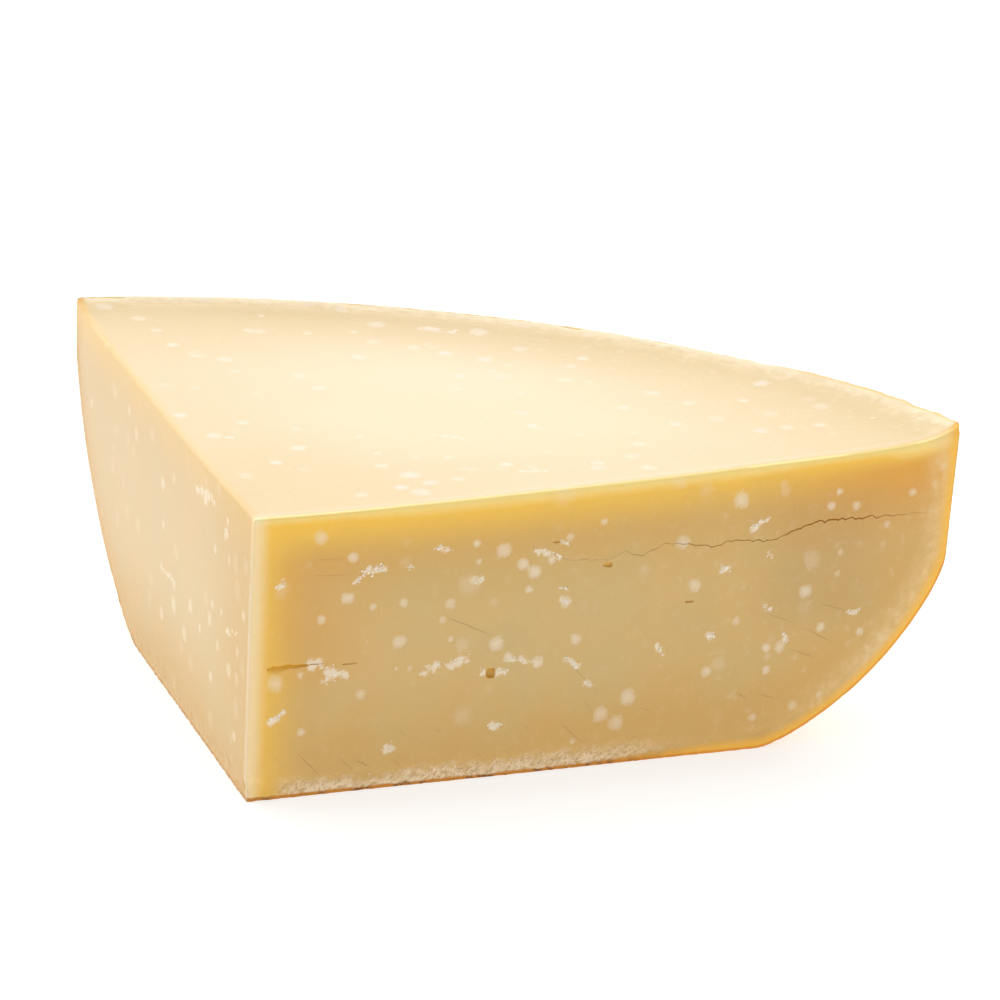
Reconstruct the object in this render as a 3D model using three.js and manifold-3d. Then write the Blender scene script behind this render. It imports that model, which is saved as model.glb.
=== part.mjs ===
// A chunk of aged gouda: a quarter of a wheel, cut across again at about half its height.
//
// The wheel's lower half is turned as one solid, with a flat foot, a rounded shoulder that has slumped
// further on one side, and a dished top with a lip at the rim, as a cut face dries. Two knife cuts at
// right angles leave the quarter. The cut faces wave a little and are torn along the rind, their shared
// corner is worn, and the front one holds a crack and a few small eyes. The rind is chipped at its edges.
//
// Millimetres, +Z up. The chunk stands on the wheel's flat rind at z = 0, with the origin at the middle of
// its box. The front cut faces -Y and the left cut faces -X.

import * as THREE from "three";
import { mergeVertices } from "three/addons/utils/BufferGeometryUtils.js";
import Module from "manifold-3d";

// The wheel
const WHEEL_RADIUS = 170;
const CENTRE_HEIGHT = 63.2; // height of the chunk where the two cuts meet
const DISH_RISE = 9.2; // how far the top climbs from the centre to the rim
const LIP_HEIGHT = 2.8; // a narrow lip on top of that, along the rim
const LIP_POWER = 22; // a higher power keeps the lip closer to the rim
const LIP_RAGGEDNESS = 0.25; // share of the lip's height by which it is uneven
const LIP_WAVES = [41, 67]; // waves of that unevenness round the wheel

// The shoulder's foot radius, height and roundness at the two cuts
const FRONT_SHOULDER = { foot: 123.5, height: 45.4, power: 1.47 };
const LEFT_SHOULDER = { foot: 100, height: 64, power: 1.45 };

// The knife cuts, at their angles round the wheel
const FRONT_CUT = 0;
const LEFT_CUT = Math.PI / 2;
const WAVE_DEPTH = 0.4;
const WAVE_LENGTH = 60;
const TORN_BAND = 6; // width of the torn paste along the rind
const TORN_DEPTH = 0.8;
const CORNER_WEAR = 0.6;

// The crack in the front face: points along and up the face, with its widest gap and its depth
const CRACK_PATH = [
  [74, 49.6], [80, 49.2], [85.2, 51], [88.8, 49.4], [95.3, 51.8], [107.7, 50.4], [111.1, 51.3],
  [122.9, 50.9], [126.6, 52.6], [133, 54.4], [147.4, 55], [166, 55.5],
];
const CRACK_WIDTH = 0.9;
const CRACK_DEPTH = 6;

// Small eyes in the front face
const EYES = [
  { along: 55.1, up: 25, width: 3, height: 2.4, depth: 2 },
  { along: 81.3, up: 47.4, width: 2.6, height: 1.4, depth: 1.5 },
  { along: 6.5, up: 28.8, width: 7, height: 1.2, depth: 1.6 },
  { along: 102.5, up: 37.7, width: 3, height: 1, depth: 1.2 },
];

// Chips along the rind's edges, on each cut face
const CHIP_COUNT = 9;
const CHIP_RADIUS = { least: 0.9, most: 1.9 };

// How finely the surfaces are divided
const WHEEL_SEGMENTS = 144;
const SHOULDER_STEPS = 14;
const SIDE_STEPS = 3;
const DISH_STEPS = 14;
const CUT_COLUMN = 2.75; // width of a column of the cut faces
const CUT_ROWS = 18;
const CUT_ROW_POWER = 1.7; // above 1 the rows are closer together near the foot
const CUT_SPARE = 6; // how far the cutting block reaches past the wheel
const CUT_TOP = 82;
const CUT_BOTTOM = -2;

// Large uneven factors that scatter the numbers of chance
const CHANCE_MIX = { a: 12.9898, b: 78.233, spread: 43758.5453 };

const PASTE_COLOUR = 0xe6c88c;
const PASTE_ROUGHNESS = 0.55;

const wasm = await Module();
wasm.setup();

// A closed geometry as a solid that can be joined and cut
function solid(geometry) {
  geometry.deleteAttribute("normal");
  geometry.deleteAttribute("uv");
  const merged = mergeVertices(geometry);
  const corners = merged.index.array;
  const triangles = [];
  for (let i = 0; i < corners.length; i += 3) {
    const [a, b, c] = corners.slice(i, i + 3);
    if (a !== b && b !== c && c !== a) triangles.push(a, b, c);
  }
  const vertProperties = new Float32Array(merged.attributes.position.array);
  const triVerts = new Uint32Array(triangles);
  return new wasm.Manifold(new wasm.Mesh({ numProp: 3, vertProperties, triVerts }));
}

// A finished solid as a geometry
function surface(body) {
  const mesh = body.getMesh();
  const geometry = new THREE.BufferGeometry();
  geometry.setAttribute("position", new THREE.BufferAttribute(new Float32Array(mesh.vertProperties), 3));
  geometry.setIndex(new THREE.BufferAttribute(new Uint32Array(mesh.triVerts), 1));
  geometry.computeVertexNormals();
  return geometry;
}

// A number from 0 to 1 that looks random and is always the same for the same place
function chance(a, b) {
  const mixed = Math.sin(a * CHANCE_MIX.a + b * CHANCE_MIX.b) * CHANCE_MIX.spread;
  return mixed - Math.floor(mixed);
}

// The shoulder's sizes at an angle round the wheel, from the front cut at 0 to the left cut at a right angle
function shoulderAt(angle) {
  const slump = (1 - Math.cos(2 * angle)) / 2;
  const between = (size) => THREE.MathUtils.lerp(FRONT_SHOULDER[size], LEFT_SHOULDER[size], slump);
  return { foot: between("foot"), height: between("height"), power: between("power") };
}

// Radius and height along the rind, from the foot up to the top of the shoulder
function shoulderLine(angle) {
  const { foot, height, power } = shoulderAt(angle);
  const points = [];
  for (let step = 0; step <= SHOULDER_STEPS; step++) {
    const turn = ((step / SHOULDER_STEPS) * Math.PI) / 2;
    const reach = Math.sin(turn) ** (2 / power);
    const climb = 1 - Math.abs(Math.cos(turn)) ** (2 / power);
    points.push(new THREE.Vector2(foot + (WHEEL_RADIUS - foot) * reach, height * climb));
  }
  return points;
}

// Height of the dished top at a share of the radius
function topHeight(share, angle) {
  const ragged = (Math.sin(LIP_WAVES[0] * angle) + Math.cos(LIP_WAVES[1] * angle)) / 2;
  const lip = LIP_HEIGHT * (1 + LIP_RAGGEDNESS * ragged);
  return CENTRE_HEIGHT + DISH_RISE * share ** 2 + lip * share ** LIP_POWER;
}

// The wheel's whole outline at an angle: foot, shoulder, side and top, from axis to axis
function outline(angle) {
  const points = [new THREE.Vector2(0, 0), ...shoulderLine(angle)];
  const shoulderTop = points.at(-1).y;
  for (let step = 1; step < SIDE_STEPS; step++) {
    const height = THREE.MathUtils.lerp(shoulderTop, topHeight(1, angle), step / SIDE_STEPS);
    points.push(new THREE.Vector2(WHEEL_RADIUS, height));
  }
  for (let step = 0; step <= DISH_STEPS; step++) {
    const share = 1 - (step / DISH_STEPS) ** 2;
    points.push(new THREE.Vector2(WHEEL_RADIUS * share, topHeight(share, angle)));
  }
  return points;
}

// The lower half of the wheel, a lathe whose outline changes on the way round
function wheelHalf() {
  const rows = outline(0).length;
  const lathe = new THREE.LatheGeometry(outline(0), WHEEL_SEGMENTS);
  const place = lathe.attributes.position;
  for (let segment = 0; segment <= WHEEL_SEGMENTS; segment++) {
    const angle = ((segment % WHEEL_SEGMENTS) / WHEEL_SEGMENTS) * 2 * Math.PI;
    outline(angle).forEach((point, row) => {
      const { x: radius, y: height } = point;
      place.setXYZ(segment * rows + row, radius * Math.cos(angle), radius * Math.sin(angle), height);
    });
  }
  return solid(lathe);
}

// How deep a place on a cut face lies under the rind
function rindDepth(along, up, angle) {
  const place = new THREE.Vector2(along, up);
  const toShoulder = Math.min(...shoulderLine(angle).map((point) => point.distanceTo(place)));
  const { foot, height } = shoulderAt(angle);
  const toFoot = along < foot ? Math.abs(up) : Infinity;
  const toSide = up > height ? Math.abs(WHEEL_RADIUS - along) : Infinity;
  return Math.min(toShoulder, toFoot, toSide);
}

// How far a cut face lies behind its flat plane
function cutRelief(along, up, angle) {
  const turns = (2 * Math.PI) / WAVE_LENGTH;
  const wave = Math.sin(turns * along) * Math.cos(turns * up + angle);
  const torn = Math.max(0, 1 - rindDepth(along, up, angle) / TORN_BAND);
  return (WAVE_DEPTH * (1 + wave)) / 2 + TORN_DEPTH * torn * chance(along + angle, up);
}

// The block that the two knife cuts leave, with its corner on the wheel's axis
function knifeCuts() {
  const width = WHEEL_RADIUS + CUT_SPARE;
  const columns = Math.round(width / CUT_COLUMN);
  const column = width / columns;
  const block = new THREE.BoxGeometry(width, width, 1, columns, columns, CUT_ROWS);
  block.translate(width / 2, width / 2, 0.5);
  const place = block.attributes.position;
  for (let i = 0; i < place.count; i++) {
    let x = column * Math.round(place.getX(i) / column);
    let y = column * Math.round(place.getY(i) / column);
    const row = Math.round(place.getZ(i) * CUT_ROWS) / CUT_ROWS;
    const z = THREE.MathUtils.lerp(CUT_BOTTOM, CUT_TOP, row ** CUT_ROW_POWER);
    const [along, across] = [x, y];
    const wear = along === 0 && across === 0 ? CORNER_WEAR : 0;
    if (across === 0) y = cutRelief(along, z, FRONT_CUT) + wear;
    if (along === 0) x = cutRelief(across, z, LEFT_CUT) + wear;
    place.setXYZ(i, x, y, z);
  }
  return solid(block);
}

// The crack, a thin jagged slot that is widest in its middle
function crack() {
  const last = CRACK_PATH.length - 1;
  const side = (sign) => CRACK_PATH.map(([along, up], i) => {
    const halfGap = (CRACK_WIDTH / 2) * Math.sin((Math.PI * (i + 0.25)) / (last + 0.5));
    return new THREE.Vector2(along, up + sign * halfGap);
  });
  const slot = new THREE.Shape([...side(-1), ...side(1).reverse()]);
  const cutter = new THREE.ExtrudeGeometry(slot, { depth: CRACK_DEPTH + 1, bevelEnabled: false });
  cutter.rotateX(Math.PI / 2);
  cutter.translate(0, CRACK_DEPTH, 0);
  return solid(cutter);
}

// An eye in the front face, a squashed hollow
function eye({ along, up, width, height, depth }) {
  const hollow = new THREE.IcosahedronGeometry(1, 1);
  hollow.rotateY(along);
  hollow.scale(width / 2, depth, height / 2);
  hollow.translate(along, 0, up);
  return solid(hollow);
}

// A chip broken from the rind's edge at one of the cuts
function chip(number, angle) {
  const line = shoulderLine(angle);
  const spot = line[1 + Math.floor(chance(number, angle) * (line.length - 2))];
  const radius = THREE.MathUtils.lerp(CHIP_RADIUS.least, CHIP_RADIUS.most, chance(angle, number));
  const flake = new THREE.DodecahedronGeometry(radius);
  flake.rotateX(number);
  flake.rotateZ(number * 2);
  flake.translate(spot.x * Math.cos(angle), spot.x * Math.sin(angle), spot.y);
  return solid(flake);
}

function chunkGeometry() {
  let body = wheelHalf().intersect(knifeCuts()).subtract(crack());
  for (const place of EYES) body = body.subtract(eye(place));
  for (const angle of [FRONT_CUT, LEFT_CUT]) {
    for (let number = 1; number <= CHIP_COUNT; number++) body = body.subtract(chip(number, angle));
  }
  const geometry = surface(body);
  geometry.computeBoundingBox();
  const middle = geometry.boundingBox.getCenter(new THREE.Vector3());
  geometry.translate(-middle.x, -middle.y, -geometry.boundingBox.min.z);
  return geometry;
}

const paste = new THREE.MeshStandardMaterial({
  color: PASTE_COLOUR,
  roughness: PASTE_ROUGHNESS,
  metalness: 0,
});
const chunk = new THREE.Mesh(chunkGeometry(), paste);
chunk.name = "gouda_chunk";

const part = new THREE.Group();
part.add(chunk);

export default part;
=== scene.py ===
"""A chunk of aged gouda: a quarter of the lower half of a wheel, with its rind, crack, crystals and crumbs.

Metres, +Z up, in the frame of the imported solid. The chunk's corner, where the two upright cuts meet, stands
on the wheel's axis. The front cut runs from there along +X and the left cut along +Y.
"""

import math

import bmesh
import bpy
import numpy as np
from mathutils import Matrix, Vector
from mathutils.bvhtree import BVHTree


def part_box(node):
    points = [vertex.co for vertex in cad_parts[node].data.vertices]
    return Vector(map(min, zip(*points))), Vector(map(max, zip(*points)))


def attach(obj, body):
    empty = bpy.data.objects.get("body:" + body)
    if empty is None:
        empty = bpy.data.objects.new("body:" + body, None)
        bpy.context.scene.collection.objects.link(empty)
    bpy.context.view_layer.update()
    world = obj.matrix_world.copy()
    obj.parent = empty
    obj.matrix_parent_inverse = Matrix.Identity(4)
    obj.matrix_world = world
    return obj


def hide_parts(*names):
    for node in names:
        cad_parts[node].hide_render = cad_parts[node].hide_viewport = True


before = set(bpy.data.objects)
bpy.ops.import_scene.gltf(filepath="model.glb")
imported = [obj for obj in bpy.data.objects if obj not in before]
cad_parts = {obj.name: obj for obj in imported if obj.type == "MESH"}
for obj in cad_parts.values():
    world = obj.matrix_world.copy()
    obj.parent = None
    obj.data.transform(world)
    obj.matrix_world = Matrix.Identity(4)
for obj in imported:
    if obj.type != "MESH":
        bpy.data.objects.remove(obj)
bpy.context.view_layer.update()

MM = 0.001


def span(*sizes):
    """Sizes in millimetres, as metres."""
    return tuple(size * MM for size in sizes)


# The chunk's form
CHUNK_LOW, CHUNK_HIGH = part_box("gouda_chunk")
CORNER = Vector((CHUNK_LOW.x, CHUNK_LOW.y, 0))
WHEEL_RADIUS = CHUNK_HIGH.x - CHUNK_LOW.x
CENTRE_HEIGHT = 63.2 * MM
DISH_RISE = 9.2 * MM
DISH_POWER = 1.4
LIP_HEIGHT = 2.8 * MM
LIP_POWER = 22
FRONT_SHOULDER = {"foot": 123.5 * MM, "height": 45.4 * MM, "power": 1.47}
LEFT_SHOULDER = {"foot": 100 * MM, "height": 64 * MM, "power": 1.45}
EDGE_SOFTNESS = 0.35 * MM
RIM_SOFTNESS = 0.4 * MM
SOFTENING_ROUNDS = 3
LEAST_SLOPE = 0.2
SHARP_ANGLE = math.radians(45)
NEARLY_ZERO = 0.001 * MM
PASTE_FACE = 0
RIND_FACE = 1

# How finely its surface is divided
FOOT_COLUMNS = 150
SHOULDER_COLUMNS = 66
FACE_ROWS = 88
ANGLE_STEPS = 120
EVEN_SHARE = 0.65
CORNER_CROWDING = 1.12

# Relief
RELIEF_SIZES = {
    "Knife wave": 0.5 * MM,
    "Torn depth": 0.9 * MM,
    "Torn band": 5.5 * MM,
    "Rind dent": 0.9 * MM,
    "Lip crumble": 1.8 * MM,
    "Lip rise": 1.6 * MM,
}
KNIFE_WAVE_LENGTH = 45 * MM
RAGGED_BAND_SIZE = 6 * MM
TORN_UP = span(6, 16)
TORN_HIGHER_UP = 0.3
TEAR_SIZE = 2 * MM
TEAR_STRETCH = (1, 1, 2.5)
TEAR_SLANT = math.radians(45)
TEAR_ROUGHNESS = 0.7
BROAD_DENT_SIZE = 28 * MM
SMALL_DENT_SIZE = 5 * MM
UNDENTED_LEVEL = 0.75
LIP_CRUMBLE_SIZE = 4 * MM
LIP_RISE_ACROSS = span(150, 166)

# The crack: places along and up the front face in millimetres, with the share of the widest gap at each
CRACK_PATH = [
    (69.5, 50, 0.1), (74, 49.5, 0.2), (77, 49.5, 0.3), (80, 49, 0.15), (83, 49.5, 0.2), (85.5, 51, 0.3),
    (89, 49.5, 0.4), (95.5, 52, 0.3), (104, 51, 0.6), (107.5, 50.5, 0.7), (111, 51.5, 0.6), (123, 51, 0.7),
    (126.5, 52.5, 0.9), (133, 54.5, 0.9), (138.5, 55, 1), (147.5, 55, 0.8), (153.5, 55, 0.5),
    (163, 55.5, 0.15),
]
CRACK_WIDTH = 0.8 * MM
CRACK_DEPTH = 0.5 * MM
CRACK_STEP = 0.9
CRACK_JITTER = 0.2
CRACK_UNEVENNESS = 0.5

# Eyes in the front face: along, up, width, height and depth in millimetres
EYES = [
    (55, 25, 2.3, 2, 0.9), (81.5, 48, 2.2, 1, 0.4), (102.5, 37.7, 2.2, 0.4, 0.3), (22.5, 29.7, 2.4, 0.4, 0.3),
    (69, 54, 2, 0.5, 0.3),
]
EYE_LUMPS = 6
EYE_BULGE = 0.5
EYE_BULGE_FROM = 0.55
EYE_BOXINESS = 0.75

# Slits in the front face, wide at one end: from along, up to along, up, width and depth in millimetres
SLITS = [(4, 29.9, 16.5, 30.3, 3.4, 0.9)]
SLIT_STATIONS = 11
SLIT_JITTER = 0.06
SLIT_START = 0.4
SLIT_OPENING = 6
SLIT_TAPER = 0.8

# Knife scratches in the front face: from along, up to along, up, in millimetres
SCRATCHES = [
    (11, 10.5, 17, 4), (20.5, 8.5, 25.5, 3.5), (24, 7.5, 29, 5), (44, 38.5, 55, 33.5),
    (122.5, 33.5, 130.5, 30.5), (133, 29, 141, 25), (136, 35, 144, 32.5), (122, 14, 127.5, 12),
    (117, 14.5, 120, 12.5), (129.5, 24.5, 137.5, 21), (74.5, 25, 81.5, 17.5), (78, 16.5, 80.5, 13),
    (72.5, 11.5, 78.5, 6), (91, 13.5, 95.5, 12), (13, 53.5, 21, 53.5), (13, 50, 22, 49.7),
]
SCRATCH_WIDTH = 0.22 * MM
SCRATCH_DEPTH = 0.3 * MM
SCRATCH_STATIONS = 9
SCRATCH_JITTER = 0.08

# Wedges for the crack, slits and scratches, the last three values as shares of the full size
CUTS_SEED = 11
WEDGE_OUT = 1 * MM
WEDGE_HALF_MOUTH = 0.7
LEAST_GAP = 0.08
LEAST_DEPTH = 0.4

# Round crystals cut through at the front face: along, up and diameter in millimetres
FRONT_CRYSTALS = [
    (6, 26.5, 4), (12, 15, 2), (25, 22.5, 2.4), (56.5, 53, 3.6), (61, 49.5, 2.8), (64, 47.5, 3.4),
    (68, 50, 2.4), (72, 55, 2.2), (50, 46.5, 2.6), (44.5, 41.5, 2.5), (43, 38, 2), (56, 31.5, 3.7),
    (34, 42.5, 2.3), (63, 43.5, 2), (72, 40, 3), (80, 58, 2), (75, 31, 2.8), (132.5, 38, 3.7), (115, 32, 2.5),
    (127, 25, 3.1), (123.5, 25, 2.5), (137.5, 29, 2.5), (148, 27, 2.4), (108.5, 20.5, 3.2), (124, 19.5, 2.4),
    (121.5, 8, 2.3), (132, 10, 2.6), (139, 12, 2.4), (22, 53.5, 2.7), (21.5, 44.5, 3.4), (14.8, 58.3, 3.8),
    (89, 16, 4.4), (82.5, 12.5, 4), (86.5, 10, 4.2), (113.5, 61, 4.2), (99.5, 52, 3.6), (103.5, 41.5, 3.5),
    (59, 28, 2.5), (66, 26.5, 3), (15.5, 40, 2.4), (33.3, 33.8, 3.2), (25.9, 34.2, 1.2), (45, 33.4, 1.6),
    (50, 54.8, 2), (50.7, 50.7, 1.6), (76, 6.5, 1.6), (11.4, 28, 1.8), (27, 42, 2), (33, 27.7, 1.2),
    (36, 27.5, 1.6), (140.4, 41.8, 2), (140.5, 47, 1.8), (152.3, 53, 2.2), (158.5, 60.3, 2.4),
    (143.7, 58, 2.6), (137, 58.3, 2.4), (138.8, 61.7, 2),
]

# The clearest crystals of the left face: along, up and diameter in millimetres
LEFT_CRYSTALS = [
    (100, 55, 4), (149, 51, 3), (123, 60, 3), (108, 59, 3.4), (74, 50, 4), (64, 54, 3), (73, 40, 2.5),
    (28, 48, 2.5), (17, 49, 2.2), (62, 29, 3), (62, 24, 4.5), (73, 18, 4), (47, 28.5, 4), (31, 31, 3.6),
    (22, 35.5, 2.2), (29, 35, 2.5), (5, 40.5, 3), (52, 20, 4), (39, 26, 2.4), (24, 27, 2.6), (9, 31, 3),
    (15, 24.5, 3.8), (9, 25, 3), (29, 18, 2.8), (9.5, 11.5, 2.6),
]

# The clearest crystals of the top: across, back and diameter in millimetres
TOP_CRYSTALS = [
    (99, 125, 5.5), (75, 139, 5), (67, 135, 3), (78, 118, 4), (84, 111, 4.5), (92, 103, 5), (61, 113, 4.5),
    (27, 118, 4.5), (17, 132, 4), (16, 145, 3.5), (40, 142, 3.5), (43, 90, 4), (80, 91, 4), (17, 67, 3.5),
    (8, 59, 4), (4, 75, 4), (24, 46, 4), (38, 29, 3.4), (42, 21, 5), (44, 14.5, 4), (37, 13, 3.4),
    (40, 8.5, 5), (51, 15, 3.4), (16, 37, 3), (65, 21.5, 3.4), (117, 96, 3.6), (121, 63, 4.5), (109, 54, 4),
    (82, 47, 4), (115, 37.5, 4), (149, 59, 4.5), (139, 49, 3.6), (131, 25, 4), (138, 25, 4), (100, 26, 4.5),
    (94, 9, 4.6), (85, 16, 4), (94, 18, 3.6),
]

# Crumbly crystals in the front face: from along, up to along, up, spread in millimetres, and loose grains
FRONT_STREAKS = [
    (13.5, 30.5, 22.5, 27, 1.3, 25), (16.5, 25.5, 19.5, 28, 1.0, 10), (25, 50, 29, 50.5, 1.0, 60),
    (22.5, 47.5, 25, 50, 0.5, 20), (38.5, 26.5, 49.5, 29, 1.3, 35), (59, 28, 66, 26.5, 0.9, 30),
    (5, 18, 7.5, 19.5, 1.0, 35), (40.5, 54.5, 44, 54, 0.6, 20), (70, 54, 71.5, 53.5, 0.5, 15),
    (70, 43.5, 72, 43, 0.5, 12), (71, 40.5, 73, 39.5, 0.8, 25), (110, 45, 112, 45, 0.8, 30),
    (108, 29, 109.5, 29, 0.9, 45), (127.5, 28, 129, 26.5, 0.9, 30), (122, 35, 124, 34, 0.6, 14),
    (144.5, 32, 147.5, 32, 0.8, 20), (56.5, 25, 58.5, 25, 0.8, 25), (73, 27, 76, 24, 0.7, 30),
    (95, 28, 97, 25.5, 0.6, 22), (117, 54, 121, 56.5, 0.8, 40), (5.5, 48, 7, 49, 0.8, 15),
    (31, 9, 33, 9.5, 1.0, 12), (56, 12, 58, 12.5, 0.9, 12), (50, 46.5, 52, 46.7, 0.8, 15),
    (53, 26, 53, 24.3, 0.6, 6), (63.5, 52.3, 69.5, 50.6, 0.8, 14), (78, 20.7, 79.5, 19.6, 0.7, 8),
    (121.5, 48.5, 123.5, 45.5, 0.6, 6), (34, 50.6, 35.5, 50.4, 0.6, 5),
]

# Crumbly crystals in the left face and the top: from along, up to along, up, and spread in millimetres
LEFT_STREAKS = [
    (42, 57, 31, 59, 1.8), (18, 57, 21, 52.5, 1.1), (75, 29, 63, 29.5, 0.7), (18, 32.5, 10, 35, 0.8),
]
TOP_STREAKS = [
    (85, 133, 93, 128.5, 1.8), (56, 48, 63, 43, 1), (66, 16, 71, 14, 0.9), (6, 59, 12, 56, 0.9),
]
LEAST_LUMPS = 4
LUMP_SCATTER = 0.45
LUMP_SIZES = (0.9, 2.2)
LUMPS_SEED = 7
FAR_FROM_MARKS = 3.0

# Loose grains and crumbs
CRYSTAL_GRAIN_SIZES = {"Least size": 0.08 * MM, "Most size": 0.3 * MM, "Spread": 0.08 * MM}
CRYSTAL_GRAINS_SEED = 23
GRAIN_SEARCH_FROM = 5 * MM
CRUMB_SIZES = {
    "Least size": 0.1 * MM,
    "Most size": 0.4 * MM,
    "Spread": 0.3 * MM,
    "Count per square metre": 0.8e6,
}
CRUMBS_SEED = 5
CRUMB_SHARE = 0.6
CRUMB_DEPTH = span(1.2, 4)
CRUMB_ACROSS = span(8, 85)
CRUMB_BACK = 2 * MM
CRUMB_UP = 6 * MM
GRAIN_LUMP_SIZE = 0.8
GRAIN_LUMP_REACH = 0.45
GRAIN_STRETCH = (0.6, 1.3)

# Faces and noises of the paste
FACE_DEPTH = span(1.2, 3)
CORNER_TURN = span(-0.6, 0.6)
CLOUD_SIZE = 18 * MM
FLECK_SIZE = 3 * MM
PASTE_GRAIN_SIZE = 1.3 * MM
PASTE_GRAIN_STRETCH = (1, 1, 2)
PASTE_BUMP = 0.2 * MM

# Edges and mottles of the paste's colours
OLIVE_CLOUDS = (0.35, 0.65)
PALE_FLECKS = (0.03, 0.25)
DEEP_WANDER = 20 * MM
YELLOW_CLOUDS = (0.45, 0.75)
YELLOW_POWER = 1.4
WORN_AND_HIGHLIT_REACH = 2.2 * MM
WORN_AND_HIGHLIT_MIDDLE_MORE = 1.2 * MM
WORN_AND_HIGHLIT_END_MORE = 2.4 * MM
WORN_AND_HIGHLIT_RAGGED = 1.2 * MM
CORNER_WORN_AND_HIGHLIT = span(0.5, 1.8)
CORNER_WORN_AND_HIGHLIT_FRONT = 2.8 * MM
CORNER_RAGGED = 1.5 * MM
HAZE_MOST = 0.6
RIM_EDGE = span(166, 169)
RIM_RAGGED = 4 * MM
CRUMBLED_DEPTH = span(1.8, 5.4)
CRUMBLED_RAGGED = 10 * MM
CRUMBLED_WANDER = 6 * MM
CRUMBLED_SHADES = (0.38, 0.62)
SPLIT_LEVEL = 0.36
SPLIT_WIDTH = (0.006, 0.025)
RIND_EDGE_DEPTH = span(0.5, 1.1)
RIND_EDGE_GOLDEN = span(0.2, 2.4)
RIND_EDGE_RAGGED = 1.2 * MM
FOOT_SHADES = (0.45, 0.65)

# Crystals in the paste: their edges are in radii of a crystal
SPOT_CORE = (0.2, 0.9)
SPOT_EDGE = (0.75, 1.2)
SPOT_CLOUDS = (0.3, 0.65)
CRUMBLY_EDGE = (0.4, 1.2)
SPECK_SPACING = 7 * MM
SPECK_LARGEST = 2.8 * MM
SPECK_EDGE = (0.3, 1.3)

# Knife hairs and a speck of dirt
HAIR_SPACING = 2.2 * MM
HAIR_STRETCH = (1, 1, 0.05)
HAIR_WIDTH = (0.003, 0.013)
HAIR_CLOUDS = (0.4, 0.6)
DIRT_NARROWING = (0.35, 1, 1)
DIRT_PLACE_NARROWED = span(12.8, 0, 0.8)
DIRT_REACH = span(0.3, 0.6)

# Rind
RIND_CLOUD_SIZE = 22 * MM
RIND_CLOUDS = (0.35, 0.68)
RIND_FLECK_SIZE = 2.5 * MM
RIND_FLECKS = (0.52, 0.75)
RIND_GRAIN_SIZE = 0.8 * MM
RIND_BUMP = 0.4 * MM
PORE_SPACING = 3.2 * MM
PORE_EDGE = (0.08, 0.2)
BLOOM_UNDER_TOP = span(1, 4)

# All the cheese
CHEESE_IOR = 1.45
CHEESE_GLOW_DEPTH = 2 * MM

# Studio
CAMERA_FROM_CORNER = Vector((-133.4, -440.7, 203.0)) * MM
CAMERA_FORWARD = Vector((0.3772, 0.8834, -0.2780))
CAMERA_ROLL = math.radians(3.45)
CAMERA_LENS = 83.8
CAMERA_SENSOR = 36
CAMERA_CLIP = 0.01
FLOOR_REACH = 8.0
FLOOR_GLOW = 0.6
SKY_DIM = 0.37
SKY_FRONT = 0.3
SKY_BRIGHT = 2.1
BRIGHT_SIDE = Vector((0.1, 0.95, 0.25)).normalized()
BRIGHT_SPREAD = (-0.1, 0.9)
FRONT_SIDE = Vector((0.25, -0.9, 0.35)).normalized()
FRONT_SPREAD = (0.1, 0.9)
LAMP_STRENGTH = 0.3
LAMP_SOFTNESS = math.radians(40)
LAMP_FROM = Vector((-0.15, 0.2, 1.0))


def srgb(red, green, blue):
    """A colour of 0 to 255 as it shows on a screen, in the linear values that a shader takes."""
    def linear(level):
        share = level / 255
        return share / 12.92 if share <= 0.04045 else ((share + 0.055) / 1.055) ** 2.4
    return (linear(red), linear(green), linear(blue), 1)


# Colours
PASTE_MIDDLE = srgb(218, 182, 117)
PASTE_OLIVE = srgb(213, 182, 119)
PASTE_PALE = srgb(236, 212, 172)
PASTE_DEEP = srgb(214, 168, 88)
# Partly the paste's own yellow, partly a painted glow of light through thin edges
EDGE_YELLOW = srgb(255, 202, 66)
# Cream of the front cut's top edge: partly worn paste, partly a painted highlight
EDGE_CREAM = srgb(255, 226, 144)
EDGE_AMBER = srgb(228, 158, 54)
EDGE_PALE = srgb(255, 243, 216)
RIM_PALE = srgb(244, 221, 176)
RIND_HAZE = srgb(242, 210, 154)
CRYSTAL_WHITE = srgb(244, 229, 204)
TOP_CRYSTAL_WHITE = srgb(240, 223, 205)
GRAIN_WHITE = srgb(255, 248, 236)
TORN_PALE = srgb(246, 224, 188)
TORN_MIDDLE = srgb(220, 186, 136)
# Dark brown: painted shade in the splits between crumbs, the knife hairs, and a darker patch on the front cut
SHADE_AND_MARK_BROWN = srgb(150, 110, 62)
# A painted glow of light scattered in the paste, inside the cuts
CUT_GLOW_AMBER = srgb(228, 178, 60)
FOOT_AMBER = srgb(204, 134, 42)
FOOT_BROWN = srgb(140, 84, 22)
RIND_YELLOW = srgb(252, 192, 66)
RIND_LINE = srgb(232, 150, 36)
RIND_GOLD = srgb(232, 176, 76)
RIND_BROWN = srgb(212, 150, 62)
DIRT_BROWN = srgb(84, 66, 34)
FLOOR_WHITE = srgb(195, 195, 195)
FLOOR_GREY = srgb(192, 192, 192)
LIGHT_WHITE = srgb(255, 255, 255)


# Node trees written as Python


def maths(operation):
    """A method of Term that adds one Math node."""
    def method(self, *others):
        return self.math(operation, *others)
    return method


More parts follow.
